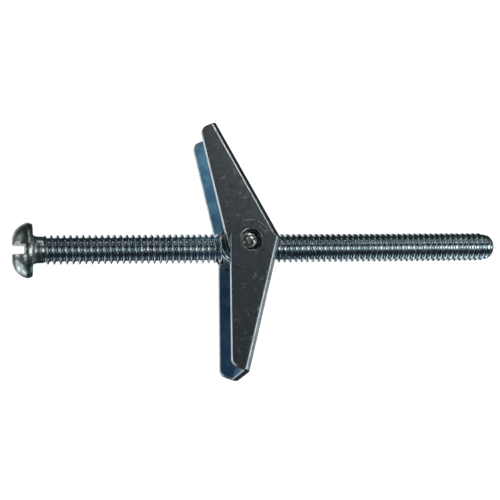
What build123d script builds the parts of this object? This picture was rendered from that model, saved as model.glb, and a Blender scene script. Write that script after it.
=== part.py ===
from build123d import *
import math
import os

# Spring toggle bolt lying as it rests, with the trunnion axis upright: a slotted round-head
# machine screw, a trunnion nut on its shank, two folded channel wings and their wire spring.
# Millimetres, +Z up. Origin: screw axis at the bearing face under the head, +X to the point.

# Machine screw, 1/4 in thread over its crests
thread_diameter = 6.2
screw_length = 101.05
head_diameter = 11.1
head_height = 4.0
head_flat_diameter = 5.4
dome_radius = 4.0
rim_height = 1.1
rim_rounding = 0.55
slot_width = 1.9
slot_depth = 2.45
slot_turn = 14.3
neck_diameter = 5.45
neck_length = 2.2
under_head_diameter = 6.9
under_head_length = 0.8
point_diameter = 4.8
point_length = 2.9
point_rounding = 2.0

# Where the wings' hinge axis stands along the screw
hinge_position = 43.85

# Wing sheet, shared by both wings
sheet = 1.2
bend_radius = 1.5
hinge_hole_diameter = 4.6
notch_clearance = 0.4
notch_reach = 4.2
butt_angle = 2.0
butt_gap = 0.25
tip_corner_radius = 1.7

# Outer wing, the wide one
outer_web_distance = 6.0
outer_length = 26.7
outer_taper = 14.1
outer_ear_radius = 4.4
outer_ear_shift = 0.1
outer_lean = 17.6
outer_tip_slant = -5.0

# Inner wing, nested between the outer wing's ears
ear_gap = 0.12
ear_swing_gap = 0.15
inner_web_distance = 6.7
inner_length = 26.5
inner_taper = 15.9
inner_ear_shift = 0.25
inner_lean = 25.1
inner_tip_slant = 1.0

# Trunnion nut
bore_clearance = 0.1
nut_wall = 0.28
nut_web_gap = 0.55
nut_nose = 5.75
nut_corner_radius = 4.0
nut_chamfer = 0.55
trunnion_diameter = 3.4
trunnion_recess = 0.4
trunnion_chamfer = 0.25
trunnion_seat_gap = 0.15
dimple_diameter = 0.9

# Wire spring
wire_diameter = 0.5
wire_gap = 0.05
spring_hook_gap = 0.35
spring_leg = 13.5
spring_foot = 2.4
spring_foot_radius = 0.7
spring_web_gap = 0.3

# Worked out from the sizes above
thread_radius = thread_diameter / 2
inner_bend = bend_radius - sheet
bend_step = inner_bend - math.sqrt(inner_bend**2 - (inner_bend - ear_gap) ** 2)
inner_ear_radius = outer_web_distance - sheet - bend_step - ear_swing_gap
nut_radius = outer_web_distance - sheet - nut_web_gap
bore_radius = thread_radius + bore_clearance
nut_half_length = bore_radius + nut_wall
trunnion_radius = trunnion_diameter / 2
hinge_slack = hinge_hole_diameter / 2 - trunnion_radius - trunnion_seat_gap
nut_position = hinge_position - hinge_slack
notch_half_width = thread_radius + notch_clearance
butt_turn = math.degrees(math.asin(butt_gap / 2 / outer_web_distance))
wire_radius = wire_diameter / 2
spring_height = nut_half_length + wire_gap + wire_radius
# The inner wing clears the nut by the wire and its gaps, and the outer wing's ears clear the inner's
inner_width = 2 * (nut_half_length + wire_diameter + 2 * wire_gap + sheet)
outer_width = inner_width + 2 * (ear_gap + sheet)


def machine_screw():
    """Head, neck and shank turned about X, with the driving slot."""
    head_radius = head_diameter / 2
    flat_radius = head_flat_diameter / 2
    neck_radius = neck_diameter / 2
    bearing_radius = head_radius - rim_rounding
    run_in = thread_radius - neck_radius
    dome = RadiusArc((-head_height, flat_radius), (-rim_height, head_radius), dome_radius)
    rim = TangentArc((-rim_height, head_radius), (0, bearing_radius), tangent=(1, 0))
    shank = Polyline(
        (0, bearing_radius),
        (0, under_head_diameter / 2),
        (under_head_length, neck_radius),
        (neck_length, neck_radius),
        (neck_length + run_in, thread_radius),
        (screw_length - point_length, thread_radius),
        (screw_length, point_diameter / 2),
        (screw_length, 0),
        (-head_height, 0),
        (-head_height, flat_radius),
    )
    outline = make_face(dome + rim + shank)
    point = outline.vertices().sort_by_distance(Vector(screw_length, point_diameter / 2, 0))[0]
    body = revolve(fillet(point, point_rounding), Axis.X)
    slot = Box(2 * slot_depth, slot_width, 2 * head_diameter)
    return body - Pos(-head_height, 0, 0) * Rot(slot_turn, 0, 0) * slot


def flange_outline(web, length, taper, ear_radius, ear_shift, tip_slant, web_end, full_ear):
    """Side face of a wing: X runs from the hinge to the tip, +Y to the open side."""
    lean = math.radians(taper)
    ear = (ear_shift, 0)
    web_corner = (-web * math.tan(math.radians(web_end)), -web)
    tip_web = (length, -web)
    # The open edge is tangent to the ear and the tip edge leans by tip_slant
    slant = math.tan(math.radians(tip_slant))
    drop = math.tan(lean)
    start = ear_radius / math.cos(lean) + ear_shift * drop
    tip_open_x = (length + slant * (start + web)) / (1 + slant * drop)
    tip_open = (tip_open_x, start - drop * tip_open_x)
    open_tangent = (ear_shift + ear_radius * math.sin(lean), ear_radius * math.cos(lean))
    # A full ear runs tangent from its circle to the web's end, a plain one straight to its centre
    away = math.hypot(web_corner[0] - ear[0], web_corner[1])
    bearing = math.atan2(web_corner[1], web_corner[0] - ear[0]) - math.acos(ear_radius / away)
    back_tangent = (ear_shift + ear_radius * math.cos(bearing), ear_radius * math.sin(bearing))
    corners = [web_corner, tip_web, tip_open, open_tangent, ear]
    if full_ear:
        corners.append(back_tangent)
    outline = make_face(Polyline(*corners, web_corner))
    corner = outline.vertices().sort_by_distance(Vector(*tip_open, 0))[0]
    outline = fillet(corner, tip_corner_radius)
    return outline + Pos(*ear) * Circle(ear_radius)


def channel(web, width, length, reach):
    """Folded channel along X: a web at -Y and two flanges with rounded bends."""
    run = length + 2 * reach

    def section(inset, radius):
        depth = web - inset + reach
        block = Pos((reach - web + inset) / 2, 0) * Rectangle(depth, width - 2 * inset)
        bends = block.vertices().sort_by(Axis.X)[:2]
        return Plane.YZ * fillet(bends, radius)

    outer = extrude(section(0, bend_radius), run)
    inner = extrude(section(sheet, inner_bend), run)
    return Pos(-reach, 0, 0) * (outer - inner)


def folded_wing(width, web, length, taper, ear_radius, ear_shift, tip_slant, web_end, full_ear):
    """One wing in its own frame: hinge axis on Z at the origin, tip on +X."""
    reach = ear_radius + web
    side = flange_outline(
        web, length, taper, ear_radius, ear_shift, tip_slant, web_end, full_ear
    )
    wing = channel(web, width, length, reach) & extrude(side, width, both=True)
    # Behind the butting plane a full ear keeps its flanges and the web between them ends
    behind = Pos(-reach, -reach, 0) * Box(2 * reach, 2 * reach, width - 2 * sheet)
    if full_ear:
        wing -= Rot(0, 0, -web_end) * behind
    # The web stands back from the shank in a round-ended notch between the flanges
    through = 4 * sheet
    notch = Pos(-reach, 0, 0) * Box(2 * reach, through, 2 * notch_half_width)
    notch += Rot(90, 0, 0) * Cylinder(notch_half_width, through)
    notch = Pos(notch_reach - notch_half_width, -web, 0) * notch
    hinge_hole = Cylinder(hinge_hole_diameter / 2, 2 * width)
    return wing - notch - hinge_hole


def outer_wing():
    """Wide wing on the -Y side, leaning towards the head from square."""
    wing = folded_wing(
        outer_width,
        outer_web_distance,
        outer_length,
        outer_taper,
        outer_ear_radius,
        outer_ear_shift,
        outer_tip_slant,
        outer_lean + butt_angle - butt_turn,
        True,
    )
    return Pos(hinge_position, 0, 0) * Rot(0, 0, -90 - outer_lean) * mirror(wing, Plane.XZ)


def inner_wing():
    """Narrow wing on the +Y side, its ears between the outer wing's ears."""
    wing = folded_wing(
        inner_width,
        inner_web_distance,
        inner_length,
        inner_taper,
        inner_ear_radius,
        inner_ear_shift,
        inner_tip_slant,
        inner_lean - butt_angle - butt_turn,
        False,
    )
    return Pos(hinge_position, 0, 0) * Rot(0, 0, 90 + inner_lean) * wing


def trunnion_nut():
    """Rounded nut block threaded on the shank, with a trunnion up and down."""
    block = Circle(nut_radius) + Pos(-nut_nose / 2, 0) * Rectangle(nut_nose, 2 * nut_radius)
    nose = block.vertices().sort_by(Axis.X)[:2]
    block = fillet(nose, nut_corner_radius)
    body = extrude(block, nut_half_length, both=True)
    ends = body.faces().filter_by(Axis.Z).edges()
    body = chamfer(ends, nut_chamfer)
    trunnion_end = outer_width / 2 - trunnion_recess
    pin = Cylinder(trunnion_radius, 2 * trunnion_end)
    pin = chamfer(pin.faces().filter_by(Axis.Z).edges(), trunnion_chamfer)
    for end in (-trunnion_end, trunnion_end):
        pin -= Pos(0, 0, end) * Sphere(dimple_diameter / 2)
    bore = Rot(0, 90, 0) * Cylinder(bore_radius, 4 * nut_nose)
    return Pos(nut_position, 0, 0) * (body + pin - bore)


def leg_turn(web, hook):
    """Angle by which a spring leg spreads from the hook to reach its web's inner face."""
    seat = web - sheet - wire_radius - spring_web_gap + hinge_slack
    return math.degrees(math.asin((seat - hook) / spring_leg))


def wing_spring():
    """Spring wire hooked over the upper trunnion, one leg pressing on each web."""
    hook = trunnion_radius + spring_hook_gap + wire_radius
    outer_side = -(outer_lean - leg_turn(outer_web_distance, hook))
    inner_side = inner_lean - leg_turn(inner_web_distance, hook)

    def polar(angle):
        turn = math.radians(angle)
        return Vector(math.cos(turn), math.sin(turn), 0)

    start = hook * polar(outer_side)
    middle = hook * polar((outer_side + inner_side) / 2)
    end = hook * polar(inner_side)
    outer_knee = start + spring_leg * polar(outer_side - 90)
    inner_knee = end + spring_leg * polar(inner_side + 90)
    down = Vector(0, 0, -spring_foot)
    outer_leg = FilletPolyline(start, outer_knee, outer_knee + down, radius=spring_foot_radius)
    inner_leg = FilletPolyline(end, inner_knee, inner_knee + down, radius=spring_foot_radius)
    path = Wire(ThreePointArc(start, middle, end).edges() + outer_leg.edges() + inner_leg.edges())
    first = outer_knee + down
    wire = sweep(Plane(origin=first, z_dir=(0, 0, 1)) * Circle(wire_radius), path)
    return Pos(nut_position, 0, spring_height) * wire


os.makedirs("parts", exist_ok=True)
nodes = {
    "machine_screw": machine_screw(),
    "trunnion_nut": trunnion_nut(),
    "outer_wing": outer_wing(),
    "inner_wing": inner_wing(),
    "wing_spring": wing_spring(),
}
for name, shape in nodes.items():
    export_step(shape, f"parts/{name}.step")
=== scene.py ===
import math

import bmesh
import bpy
from mathutils import Matrix, Vector


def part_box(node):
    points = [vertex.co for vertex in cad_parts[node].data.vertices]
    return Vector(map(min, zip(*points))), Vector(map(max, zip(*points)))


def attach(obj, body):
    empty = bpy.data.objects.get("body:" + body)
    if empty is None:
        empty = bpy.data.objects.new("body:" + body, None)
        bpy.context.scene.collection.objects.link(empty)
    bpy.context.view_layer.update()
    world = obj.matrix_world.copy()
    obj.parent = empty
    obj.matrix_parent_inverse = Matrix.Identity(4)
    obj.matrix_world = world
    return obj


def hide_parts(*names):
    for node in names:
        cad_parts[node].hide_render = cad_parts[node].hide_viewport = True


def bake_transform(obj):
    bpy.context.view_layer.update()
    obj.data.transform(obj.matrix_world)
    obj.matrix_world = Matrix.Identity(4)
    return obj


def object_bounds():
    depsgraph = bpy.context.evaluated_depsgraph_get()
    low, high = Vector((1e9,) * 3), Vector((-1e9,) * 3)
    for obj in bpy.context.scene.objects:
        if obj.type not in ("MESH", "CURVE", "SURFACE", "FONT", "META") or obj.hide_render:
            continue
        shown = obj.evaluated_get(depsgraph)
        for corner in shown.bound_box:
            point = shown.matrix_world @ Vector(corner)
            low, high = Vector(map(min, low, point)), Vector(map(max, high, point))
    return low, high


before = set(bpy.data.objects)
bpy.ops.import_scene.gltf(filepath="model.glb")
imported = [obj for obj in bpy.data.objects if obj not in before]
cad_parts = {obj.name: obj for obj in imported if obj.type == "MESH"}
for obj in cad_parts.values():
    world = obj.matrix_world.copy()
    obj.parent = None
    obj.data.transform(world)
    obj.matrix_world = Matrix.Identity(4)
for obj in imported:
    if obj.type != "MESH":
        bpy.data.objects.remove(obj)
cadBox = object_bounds()
mm = 0.001


# Shader maths: a wrapped socket, so that sums of values build Math nodes
class Value:
    def __init__(self, tree, socket):
        self.tree = tree
        self.socket = socket

    def node(self, kind, settings=None, sockets=None, out=0):
        made = self.tree.nodes.new(kind)
        for key, value in (settings or {}).items():
            if key == "stops":
                ramp = made.color_ramp
                while len(ramp.elements) < len(value):
                    ramp.elements.new(0.5)
                for element, (place, colour) in zip(ramp.elements, value):
                    element.position = place
                    element.color = (*colour, 1.0)
            else:
                setattr(made, key, value)
        for key, value in (sockets or {}).items():
            if isinstance(value, Value):
                self.tree.links.new(value.socket, made.inputs[key])
            else:
                made.inputs[key].default_value = value
        return Value(self.tree, made.outputs[out])

    def math(self, operation, *others):
        sockets = {0: self}
        for place, other in enumerate(others):
            sockets[place + 1] = other
        return self.node("ShaderNodeMath", {"operation": operation}, sockets)

    def __add__(self, other):
        return self.math("ADD", other)

    def __radd__(self, other):
        return self.math("ADD", other)

    def __mul__(self, other):
        return self.math("MULTIPLY", other)

    def __rmul__(self, other):
        return self.math("MULTIPLY", other)

    def __sub__(self, other):
        return self.math("SUBTRACT", other)

    def __rsub__(self, other):
        return self.math("MULTIPLY", -1.0) + other

    def clip(self, low, high):
        sockets = {"Value": self, "From Min": low, "From Max": high}
        settings = {"interpolation_type": "SMOOTHSTEP"}
        return self.node("ShaderNodeMapRange", settings, sockets)

    def mix(self, first, second):
        settings = {"data_type": "RGBA"}
        return self.node("ShaderNodeMix", settings, {0: self, 6: first, 7: second}, 2)

    def noise(self, scale, detail=3.0, stretch=(1, 1, 1)):
        sockets = {0: self, "Scale": stretch}
        place = self.node("ShaderNodeMapping", {}, sockets)
        sockets = {"Vector": place, "Scale": scale, "Detail": detail}
        return self.node("ShaderNodeTexNoise", {}, sockets)


def zinc(name, look):
    """Bright blue-white zinc plate."""
    material = bpy.data.materials.new(name)
    material.use_nodes = True
    tree = material.node_tree
    shader = tree.nodes["Principled BSDF"]
    coords = tree.nodes.new("ShaderNodeTexCoord")
    place = Value(tree, coords.outputs["Object"])
    split = tree.nodes.new("ShaderNodeSeparateXYZ")
    tree.links.new(place.socket, split.inputs[0])
    height = Value(tree, split.outputs["Z"])
    cloud = place.noise(look["cloudScale"], 4.0)
    speck = place.noise(look["speckScale"], 3.0)
    grain = place.noise(look["grainScale"], 2.0)
    scratch = place.noise(look["scratchScale"], 2.0, look["scratchStretch"])
    colour = cloud.clip(0.38, 0.62).mix((*look["light"], 1), (*look["dark"], 1))
    colour = speck.clip(0.5, 0.66).mix(colour, (*look["speck"], 1))
    colour = place.noise(look["tintScale"], 2.0).clip(0.5, 0.8).mix(colour, (*look["tint"], 1))
    rough = look["rough"] + (cloud - 0.5) * look["roughSpread"]
    if "inside" in look:
        # Faces in the channels get the plate's blue tint together with painted light on the narrow wing and
        # painted shade on the wide wing
        inChannel = place.node("ShaderNodeAttribute", {"attribute_name": "inside"}, {}, 2)
        channelTintAndLight = cloud.clip(0.4, 0.6).mix((*look["inside"], 1), (*look["insideDark"], 1))
        colour = inChannel.mix(colour, channelTintAndLight)
        metal = inChannel * (look["insideMetal"] - 1.0) + 1.0
        tree.links.new(metal.socket, shader.inputs["Metallic"])
        rough = rough + inChannel * 0.15
    # Rounded edges are painted lighter: worn plate together with a painted edge highlight
    rubbed = place.node("ShaderNodeAttribute", {"attribute_name": "rubbed"}, {}, 2)
    colour = (rubbed * (1.4 - cloud)).clip(0.3, 1.0).mix(colour, (*look["wornAndGlint"], 1))
    rough = rough + (scratch.clip(0.58, 0.72)) * look["scratchRough"]
    bumps = grain * look["grainDepth"] + scratch * look["scratchDepth"]
    bumps = bumps + cloud * look["waveDepth"]
    if "dentDepth" in look:
        # Past dentStart lie the trunnion ends: dented, and given endColour, lighter than the nut's
        # painted-shade body
        trunnionEnd = height.math("ABSOLUTE").clip(look["dentStart"], look["dentStart"] + 0.0003)
        bumps = bumps + place.noise(look["dentScale"], 1.0) * trunnionEnd * look["dentDepth"]
        colour = trunnionEnd.mix(colour, (*look["endColour"], 1))
    bump = bumps.node("ShaderNodeBump", {}, {"Strength": 1.0, "Distance": 1.0, "Height": bumps})
    shader.inputs["Metallic"].default_value = look["metallic"]
    tree.links.new(colour.socket, shader.inputs["Base Color"])
    tree.links.new(rough.socket, shader.inputs["Roughness"])
    tree.links.new(bump.socket, shader.inputs["Normal"])
    return material


plate = {
    "light": (0.64, 0.69, 0.71), "dark": (0.47, 0.53, 0.56), "speck": (0.42, 0.46, 0.56),
    "tint": (0.58, 0.59, 0.58), "wornAndGlint": (0.80, 0.83, 0.84), "metallic": 1.0,
    "cloudScale": 420.0, "speckScale": 1100.0, "tintScale": 240.0, "grainScale": 4200.0,
    "scratchScale": 900.0, "scratchStretch": (1, 1, 0.2),
    "rough": 0.21, "roughSpread": 0.12, "scratchRough": 0.08,
    "grainDepth": 0.000004, "scratchDepth": 0.000003, "waveDepth": 0.000012,
}
screwZinc = zinc("screw_zinc", {
    **plate, "light": (0.62, 0.70, 0.72), "dark": (0.42, 0.51, 0.54), "speck": (0.34, 0.43, 0.48),
    "tint": (0.50, 0.58, 0.61), "rough": 0.17, "roughSpread": 0.06,
    "grainDepth": 0.000002, "scratchDepth": 0.000001, "waveDepth": 0.000005,
})
headZinc = zinc("head_zinc", {
    **plate, "light": (0.66, 0.74, 0.70), "dark": (0.30, 0.36, 0.34), "speck": (0.2, 0.24, 0.23),
    "cloudScale": 1000.0, "speckScale": 2400.0, "rough": 0.3, "roughSpread": 0.2,
    "grainDepth": 0.00001, "waveDepth": 0.00003,
})
# The nut is painted darker and bluer than the plate: painted shade where it sits between the wings
nutZinc = zinc("nut_zinc", {
    **plate, "light": (0.34, 0.46, 0.50), "dark": (0.16, 0.25, 0.30), "speck": (0.2, 0.28, 0.36),
    "dentStart": 5.6 * mm, "dentScale": 560.0, "dentDepth": 0.0004, "endColour": (0.72, 0.78, 0.70),
})
# The wide wing's channel faces are painted dark navy: painted shade inside the channel
outerZinc = zinc("wing_zinc_outer", {
    **plate, "light": (0.58, 0.64, 0.66), "dark": (0.42, 0.48, 0.51),
    "inside": (0.20, 0.34, 0.47), "insideDark": (0.13, 0.26, 0.40), "insideMetal": 0.55,
})
# The narrow wing's channel faces are painted light blue: painted light inside the channel
innerZinc = zinc("wing_zinc_inner", {
    **plate, "inside": (0.46, 0.70, 0.84), "insideDark": (0.30, 0.50, 0.66), "insideMetal": 0.3,
})
springSteel = zinc("spring_wire", {**plate, "light": (0.4, 0.4, 0.4), "dark": (0.3, 0.3, 0.31)})
print("materials ready")


def newObject(name, mesh, material):
    made = bpy.data.objects.new(name, mesh)
    bpy.context.scene.collection.objects.link(made)
    mesh.materials.clear()
    mesh.materials.append(material)
    return made


def plain(piece):
    """The evaluated piece as a plain mesh, with its modifiers taken off."""
    bpy.context.view_layer.update()
    graph = bpy.context.evaluated_depsgraph_get()
    mesh = bpy.data.meshes.new_from_object(piece.evaluated_get(graph))
    piece.modifiers.clear()
    piece.data = mesh
    return piece


def smooth(mesh, degrees):
    mesh.polygons.foreach_set("use_smooth", [True] * len(mesh.polygons))
    mesh.set_sharp_from_angle(angle=math.radians(degrees))


def softEdges(piece, width, segments, angle):
    """Rounds the sheared or machined edges and keeps the flats flat."""
    bevel = piece.modifiers.new("edges", "BEVEL")
    bevel.width = width
    bevel.segments = segments
    bevel.limit_method = "ANGLE"
    bevel.angle_limit = math.radians(angle)
    bevel.use_clamp_overlap = False
    piece.data.materials.append(piece.data.materials[0])
    bevel.material = 1
    weighted = piece.modifiers.new("flats", "WEIGHTED_NORMAL")
    weighted.keep_sharp = False
    weighted.weight = 80
    plain(piece)
    # The new faces are marked to get a lighter colour: worn edges together with a painted highlight along them
    mesh = piece.data
    rubbed = mesh.attributes.new("rubbed", "FLOAT", "FACE")
    rubbed.data.foreach_set("value", [float(face.material_index) for face in mesh.polygons])
    mesh.polygons.foreach_set("material_index", [0] * len(mesh.polygons))
    mesh.materials.pop(index=1)
    return piece


def markInside(piece, webOut):
    """Marks the faces that look into the channel, which are painted bluer and duller, with painted light on
    the narrow wing and painted shade on the wide wing.
    """
    mesh = piece.data
    values = []
    level = max(vertex.co.z for vertex in mesh.vertices) - 1.15 * mm
    for face in mesh.polygons:
        inward = face.normal.z * math.copysign(1.0, face.center.z) < -0.3
        low = abs(face.center.z) < level and face.normal.dot(webOut) < -0.3
        values.append(float(inward or low))
    mesh.attributes.new("inside", "FLOAT", "FACE").data.foreach_set("value", values)
    return piece


def copyOfNode(name, node, material):
    """The CAD node's shape as merged flats, ready for rounded edges."""
    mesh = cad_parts[node].data.copy()
    work = bmesh.new()
    work.from_mesh(mesh)
    bmesh.ops.remove_doubles(work, verts=work.verts, dist=2e-6)
    flat = math.radians(1.0)
    bmesh.ops.dissolve_limit(work, angle_limit=flat, verts=work.verts, edges=work.edges)
    bmesh.ops.recalc_face_normals(work, faces=work.faces)
    work.to_mesh(mesh)
    work.free()
    for attribute in ("custom_normal",):
        if attribute in mesh.attributes:
            mesh.attributes.remove(mesh.attributes[attribute])
    smooth(mesh, 40)
    return newObject(name, mesh, material)


# Screw thread, one helical strip whose turns are merged edge to edge
thread = {
    "pitch": 1.27, "rootRadius": 2.40, "crestFlat": 0.12, "rootBlend": 0.16, "crestBlend": 0.05,
    "start": 1.685, "runIn": 1.6, "runInLength": 1.6, "neckRadius": 2.725,
    "pointRadius": 2.25, "pointLength": 2.9, "pointRounding": 2.1,
    "stepsPerTurn": 48, "profileSteps": 16,
}


def threadTree():
    tree = bpy.data.node_groups.new("rolled_thread", "GeometryNodeTree")
    sizes = {
        "Pitch": thread["pitch"] * mm, "Start": thread["start"] * mm, "End": screwEnd,
        "Crest": crestRadius, "Root": thread["rootRadius"] * mm,
        "Neck": thread["neckRadius"] * mm, "Crest flat": thread["crestFlat"] * mm,
        "Root blend": thread["rootBlend"] * mm, "Crest blend": thread["crestBlend"] * mm,
        "Run in": thread["runIn"] * mm, "Run in length": thread["runInLength"] * mm,
        "Point radius": thread["pointRadius"] * mm, "Point length": thread["pointLength"] * mm,
        "Point rounding": thread["pointRounding"] * mm,
    }
    face = tree.interface
    for name in sizes:
        face.new_socket(name, in_out="INPUT", socket_type="NodeSocketFloat")
    for name in ("Turns", "Steps", "Profile"):
        face.new_socket(name, in_out="INPUT", socket_type="NodeSocketInt")
    face.new_socket("Material", in_out="INPUT", socket_type="NodeSocketMaterial")
    face.new_socket("Geometry", in_out="OUTPUT", socket_type="NodeSocketGeometry")
    entry = tree.nodes.new("NodeGroupInput")

    def given(name):
        return Value(tree, entry.outputs[name])

    turns = given("Turns")
    steps = given("Steps")
    grid = tree.nodes.new("GeometryNodeMeshGrid")
    tree.links.new((turns * steps + 1.0).socket, grid.inputs["Vertices X"])
    tree.links.new((given("Profile") + 1.0).socket, grid.inputs["Vertices Y"])
    position = tree.nodes.new("GeometryNodeInputPosition")
    apart = tree.nodes.new("ShaderNodeSeparateXYZ")
    tree.links.new(position.outputs[0], apart.inputs[0])
    along = (Value(tree, apart.outputs["X"]) + 0.5) * turns
    across = Value(tree, apart.outputs["Y"]) + 0.5
    pitch = given("Pitch")
    reach = given("Start") + pitch * (along + across - 1.0)
    reach = reach.math("MAXIMUM", given("Start")).math("MINIMUM", given("End"))
    # Sixty degree flanks from a narrow crest down to a rounded root
    off = (across - 0.5).math("ABSOLUTE") * pitch - given("Crest flat") * 0.5
    flank = given("Crest") - off * math.tan(math.radians(60))
    radius = flank.math("SMOOTH_MIN", given("Crest"), given("Crest blend"))
    radius = radius.math("SMOOTH_MAX", given("Root"), given("Root blend"))
    grown = (reach - given("Run in")).math("DIVIDE", given("Run in length"))
    grown = grown.clip(0.0, 1.0)
    radius = given("Neck") + (radius - given("Neck")) * grown
    # The point is a cone that a large rounding carries into the flat end
    slope = (given("Crest") - given("Point radius")).math("DIVIDE", given("Point length"))
    arc = given("Point rounding")
    centre = given("Point radius") + arc * (slope - (slope * slope + 1.0).math("SQRT"))
    into = (arc - (given("End") - reach)).math("MAXIMUM", 0.0)
    before = (given("End") - reach - arc).math("MAXIMUM", 0.0)
    limit = centre + (arc * arc - into * into).math("SQRT") + before * slope
    radius = radius.math("MINIMUM", limit)
    turn = along * (2 * math.pi)
    where = tree.nodes.new("ShaderNodeCombineXYZ")
    for socket, value in zip(where.inputs, (
        reach, radius * turn.math("COSINE"), radius * turn.math("SINE"),
    )):
        tree.links.new(value.socket, socket)
    put = tree.nodes.new("GeometryNodeSetPosition")
    tree.links.new(grid.outputs["Mesh"], put.inputs["Geometry"])
    tree.links.new(where.outputs[0], put.inputs["Position"])
    merge = tree.nodes.new("GeometryNodeMergeByDistance")
    merge.inputs["Distance"].default_value = 2e-6
    real = tree.nodes.new("GeometryNodeRealizeInstances")
    paint = tree.nodes.new("GeometryNodeSetMaterial")
    result = tree.nodes.new("NodeGroupOutput")
    tree.links.new(put.outputs[0], merge.inputs["Geometry"])
    tree.links.new(merge.outputs[0], real.inputs[0])
    tree.links.new(real.outputs[0], paint.inputs["Geometry"])
    tree.links.new(entry.outputs["Material"], paint.inputs["Material"])
    tree.links.new(paint.outputs[0], result.inputs[0])
    return tree, sizes


def screwThread():
    tree, sizes = threadTree()
    piece = newObject("screw_thread", bpy.data.meshes.new("screw_thread"), screwZinc)
    nodes = piece.modifiers.new("thread", "NODES")
    nodes.node_group = tree
    length = screwEnd - thread["start"] * mm
    values = {
        **sizes, "Turns": math.ceil(length / (thread["pitch"] * mm)) + 1,
        "Steps": thread["stepsPerTurn"], "Profile": thread["profileSteps"], "Material": screwZinc,
    }
    for item in tree.interface.items_tree:
        if item.in_out == "INPUT":
            nodes[item.identifier] = values[item.name]
    plain(piece)
    work = bmesh.new()
    work.from_mesh(piece.data)
    bmesh.ops.dissolve_degenerate(work, edges=work.edges, dist=1e-6)
    rim = [edge for edge in work.edges if edge.is_boundary and edge.verts[0].co.x > screwEnd / 2]
    bmesh.ops.contextual_create(work, geom=rim)
    bmesh.ops.recalc_face_normals(work, faces=work.faces)
    work.to_mesh(piece.data)
    work.free()
    smooth(piece.data, 50)
    return piece


# Screw head, turned, with a milled slot
head = {
    "flatRadius": 2.7, "domeRadius": 4.0, "rimHeight": 1.1, "rimDrop": 0.38, "underRadius": 3.45,
    "swell": 0.08, "offCentre": 0.1,
    "filletLength": 1.1, "neckRadius": 2.725, "filletSteps": 20,
    "slotWidth": 1.9, "slotDepth": 2.45, "slotTurn": 14.3, "around": 160, "edge": 0.1,
}


def arcThrough(start, end, radius, steps):
    """Points of the arc from start to end that bulges away from the axis."""
    a, b = Vector(start), Vector(end)
    half = (b - a) / 2
    back = math.sqrt(radius**2 - half.length_squared)
    centre = a + half + back * Vector((half.y, -half.x)).normalized()
    first = math.atan2(a.y - centre.y, a.x - centre.x)
    last = math.atan2(b.y - centre.y, b.x - centre.x)
    turns = [first + (last - first) * i / steps for i in range(steps + 1)]
    return [(centre.x + radius * math.cos(t), centre.y + radius * math.sin(t)) for t in turns]


def screwHead():
    top = -headHeight / mm
    wide = headRadius / mm + head["swell"]
    rimStart = -head["rimHeight"]
    rimDrop = head["rimDrop"]
    rimRadius = (rimStart**2 + rimDrop**2) / (2 * rimDrop)
    outline = [(top, 0.0)]
    outline += arcThrough((top, head["flatRadius"]), (rimStart, wide), head["domeRadius"], 28)
    outline += arcThrough((rimStart, wide), (0.0, wide - rimDrop), rimRadius, 10)[1:]
    neck = head["neckRadius"]
    under = head["underRadius"]
    outline.append((0.0, under))
    for step in range(1, head["filletSteps"] + 1):
        turn = math.radians(90 * step / head["filletSteps"])
        outline.append((
            head["filletLength"] * (1 - math.cos(turn)),
            under - (under - neck) * math.sin(turn),
        ))
    neckEnd = thread["start"] + 0.02
    outline += [(neckEnd, neck), (neckEnd, 0.0)]
    work = bmesh.new()
    verts = [work.verts.new((x * mm, 0, r * mm)) for x, r in outline]
    edges = [work.edges.new(pair) for pair in zip(verts, verts[1:])]
    bmesh.ops.spin(
        work, geom=verts + edges, axis=(1, 0, 0), cent=(0, 0, 0),
        angle=2 * math.pi, steps=head["around"], use_merge=True,
    )
    bmesh.ops.remove_doubles(work, verts=work.verts, dist=1e-6)
    bmesh.ops.recalc_face_normals(work, faces=work.faces)
    # The upset head stands a little off the shank's centre
    for vert in work.verts:
        if vert.co.x < -1e-7 or (vert.co.x < 1e-7 and vert.co.yz.length > 4 * mm):
            vert.co.y -= head["offCentre"] * mm
    mesh = bpy.data.meshes.new("screw_head")
    work.to_mesh(mesh)
    work.free()
    piece = newObject("screw_head", mesh, headZinc)
    cutter = bmesh.new()
    size = (2 * head["slotDepth"] * mm, 4 * headRadius, head["slotWidth"] * mm)
    bmesh.ops.create_cube(cutter, size=1.0, matrix=Matrix.Diagonal((*size, 1.0)))
    turn = Matrix.Rotation(math.radians(90 + head["slotTurn"]), 4, "X")
    bmesh.ops.transform(
        cutter, matrix=Matrix.Translation((-headHeight, 0, 0)) @ turn, verts=cutter.verts
    )
    block = bpy.data.meshes.new("slot_cutter")
    cutter.to_mesh(block)
    cutter.free()
    tool = newObject("slot_cutter", block, headZinc)
    cut = piece.modifiers.new("slot", "BOOLEAN")
    cut.operation = "DIFFERENCE"
    cut.solver = "EXACT"
    cut.object = tool
    plain(piece)
    bpy.data.objects.remove(tool)
    smooth(piece.data, 30)
    return softEdges(piece, head["edge"] * mm, 3, 38)


# Wire spring, drawn from the hook over the trunnion to the foot on each web
def springHalf(name, side, material):
    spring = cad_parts["wing_spring"]
    mesh = spring.data.copy()
    work = bmesh.new()
    work.from_mesh(mesh)
    bmesh.ops.remove_doubles(work, verts=work.verts, dist=2e-6)
    cut = bmesh.ops.bisect_plane(
        work, geom=work.verts[:] + work.edges[:] + work.faces[:], plane_co=(0, 0, 0),
        plane_no=(0, side, 0), clear_inner=True,
    )
    rim = [item for item in cut["geom_cut"] if isinstance(item, bmesh.types.BMEdge)]
    bmesh.ops.contextual_create(work, geom=rim)
    bmesh.ops.recalc_face_normals(work, faces=work.faces)
    work.to_mesh(mesh)
    work.free()
    for attribute in ("custom_normal",):
        if attribute in mesh.attributes:
            mesh.attributes.remove(mesh.attributes[attribute])
    smooth(mesh, 60)
    return newObject(name, mesh, material)


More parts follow.
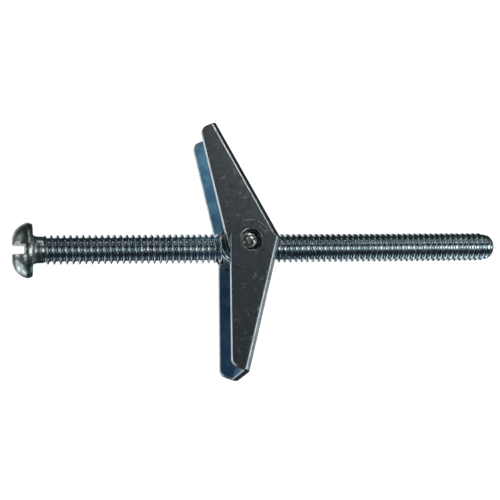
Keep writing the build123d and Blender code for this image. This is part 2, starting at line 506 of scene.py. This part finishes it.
screwLow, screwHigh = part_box("machine_screw")
headHeight = -screwLow.x
headRadius = screwHigh.z
screwEnd = screwHigh.x
crestRadius = 3.1 * mm

for piece in (screwThread(), screwHead()):
    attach(piece, "screw")
    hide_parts("machine_screw")
print("screw made")

nut = softEdges(copyOfNode("toggle_nut", "trunnion_nut", nutZinc), 0.1 * mm, 2, 35)
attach(nut, "nut")
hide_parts("trunnion_nut")
lean = {"outer": 17.6, "inner": 25.1}
outer = softEdges(copyOfNode("wide_wing", "outer_wing", outerZinc), 0.14 * mm, 3, 35)
turn = math.radians(lean["outer"])
markInside(outer, Vector((math.cos(turn), -math.sin(turn), 0)))
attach(outer, "outer_wing")
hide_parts("outer_wing")
inner = softEdges(copyOfNode("narrow_wing", "inner_wing", innerZinc), 0.14 * mm, 3, 35)
turn = math.radians(lean["inner"])
markInside(inner, Vector((math.cos(turn), math.sin(turn), 0)))
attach(inner, "inner_wing")
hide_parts("inner_wing")
print("toggle made")

for name, side, wing in (("spring_outer_leg", -1, "outer_wing"), ("spring_inner_leg", 1, "inner_wing")):
    leg = springHalf(name, side, springSteel)
    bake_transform(leg)
    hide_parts("wing_spring")
print("spring made")


# The studio: a pale board that the reflections don't see, and soft lights round the bolt
floorLevel = cadBox[0].z
floorMesh = bpy.data.meshes.new("floor")
reachOut = 20.0
corners = [(-reachOut, -reachOut), (reachOut, -reachOut), (reachOut, reachOut), (-reachOut, reachOut)]
floorMesh.from_pydata([(x, y, floorLevel) for x, y in corners], [], [(0, 1, 2, 3)])
floorMaterial = bpy.data.materials.new("floor")
floorMaterial.use_nodes = True
floorShader = floorMaterial.node_tree.nodes["Principled BSDF"]
floorShader.inputs["Base Color"].default_value = (0.9, 0.9, 0.9, 1)
floorShader.inputs["Roughness"].default_value = 0.9
floorShader.inputs["Emission Color"].default_value = (1, 1, 1, 1)
floorShader.inputs["Emission Strength"].default_value = 0.97
floor = newObject("floor", floorMesh, floorMaterial)
floor.visible_glossy = False
floor.visible_shadow = False

# Each soft light is a round patch of sky: where it stands, its half width in degrees to where it
# starts to fade and to where it ends, and its brightness
sky = {
    "below": {"at": (-0.15, 0.35, -0.92), "full": 20, "ends": 32, "colour": (0.94, 0.97, 1.0), "glow": 0.95},
    "right": {"at": (0.98, 0.0, -0.15), "full": 10, "ends": 28, "colour": (0.94, 0.98, 0.98), "glow": 0.42},
    "rightLow": {"at": (0.8, 0.0, -0.6), "full": 8, "ends": 24, "colour": (0.94, 0.98, 0.98), "glow": 0.5},
    "rightLine": {"at": (0.82, 0.04, 0.57), "full": 4, "ends": 14, "colour": (0.96, 1.0, 0.99), "glow": 1.5},
    "backLine": {"at": (0.42, 0.48, 0.77), "full": 4, "ends": 9, "colour": (1.0, 1.0, 1.0), "glow": 2.4},
    "back": {"at": (0.2, 0.82, 0.53), "full": 5, "ends": 12, "colour": (1.0, 1.0, 1.0), "glow": 1.2},
    "leftLow": {"at": (-0.62, -0.55, -0.58), "full": 16, "ends": 28, "colour": (0.86, 0.94, 1.0), "glow": 1.7},
    "left": {"at": (-0.96, 0.12, -0.05), "full": 12, "ends": 25, "colour": (1.0, 1.0, 0.99), "glow": 1.6},
    "leftBack": {"at": (-0.78, 0.6, 0.15), "full": 5, "ends": 12, "colour": (1.0, 1.0, 0.97), "glow": 1.0},
    "leftUp": {"at": (-0.70, -0.16, 0.70), "full": 4, "ends": 11, "colour": (1.0, 1.0, 1.0), "glow": 2.0},
    "leftFront": {"at": (-0.62, -0.59, 0.5), "full": 4, "ends": 10, "colour": (1.0, 1.0, 1.0), "glow": 2.2},
    "neck": {"at": (0.93, -0.14, 0.34), "full": 4, "ends": 13, "colour": (0.6, 0.82, 1.0), "glow": 0.55},
    "point": {"at": (0.56, -0.3, 0.77), "full": 9, "ends": 17, "colour": (1.0, 1.0, 1.0), "glow": 1.9},
    "pointLow": {"at": (0.62, -0.68, -0.38), "full": 9, "ends": 18, "colour": (0.4, 0.8, 0.95), "glow": 0.45},
}
dimSky = (0.028, 0.035, 0.038)
world = bpy.data.worlds.new("studio")
world.use_nodes = True
worldTree = world.node_tree
around = Value(worldTree, worldTree.nodes.new("ShaderNodeTexCoord").outputs["Generated"])
around = around.node("ShaderNodeVectorMath", {"operation": "NORMALIZE"}, {0: around})
light = around.node("ShaderNodeRGB")
light.socket.default_value = (*dimSky, 1)
for patch in sky.values():
    middle = Vector(patch["at"]).normalized()
    facing = around.node("ShaderNodeVectorMath", {"operation": "DOT_PRODUCT"}, {0: around, 1: middle}, 1)
    mask = facing.clip(math.cos(math.radians(patch["ends"])), math.cos(math.radians(patch["full"])))
    glow = [part * patch["glow"] for part in patch["colour"]]
    light = mask.mix(light, (*glow, 1))
worldTree.links.new(light.socket, worldTree.nodes["Background"].inputs[0])
bpy.context.scene.world = world
bpy.context.scene.view_settings.view_transform = "Standard"

lamps = {
    "point": {"at": (0.30, -0.105, 0.252), "size": (0.10, 0.10), "power": 0.08},
}
target = Vector((0.09, 0, 0))
for name, lamp in lamps.items():
    panel = bpy.data.lights.new(name, "AREA")
    panel.shape = "RECTANGLE"
    panel.size, panel.size_y = lamp["size"]
    panel.energy = lamp["power"]
    made = bpy.data.objects.new(name, panel)
    bpy.context.scene.collection.objects.link(made)
    made.location = lamp["at"]
    made.rotation_euler = (target - Vector(lamp["at"])).to_track_quat("-Z", "Y").to_euler()

# The bolt's axis turns 14.08 degrees towards the camera at the head and tilts slightly in the
# picture, and the trunnion leans about 17 degrees from the line of sight
photo = {
    "focal": 1000.0, "side": 500.0, "axisTurn": 14.08, "axisTilt": 0.40, "roll": 16.9,
    "crestAlong": 2.67, "crestPlace": (-41.08, 0.04, -201.4),
}
axisTurn = math.radians(photo["axisTurn"])
axisTilt = math.radians(photo["axisTilt"])
roll = math.radians(photo["roll"])
boltLine = Vector((
    math.cos(axisTurn) * math.cos(axisTilt), math.sin(axisTilt),
    -math.sin(axisTurn) * math.cos(axisTilt),
)).normalized()
nearest = (Vector((0, 0, 1)) - boltLine.z * boltLine).normalized()
upward = nearest.cross(boltLine)
trunnionLine = math.cos(roll) * nearest + math.sin(roll) * upward
spreadLine = trunnionLine.cross(boltLine)
turned = Matrix((boltLine, spreadLine, trunnionLine))
place = Vector((photo["crestAlong"] * mm, 0, 0)) - turned @ (Vector(photo["crestPlace"]) * mm)
camera = bpy.data.objects.new("camera", bpy.data.cameras.new("camera"))
bpy.context.scene.collection.objects.link(camera)
camera.data.sensor_width = 36.0
camera.data.lens = photo["focal"] / photo["side"] * camera.data.sensor_width
camera.data.clip_start = 0.005
camera.matrix_world = Matrix.Translation(place) @ turned.to_4x4()
bpy.context.scene.camera = camera

print("camera", [round(v / mm, 1) for v in place])
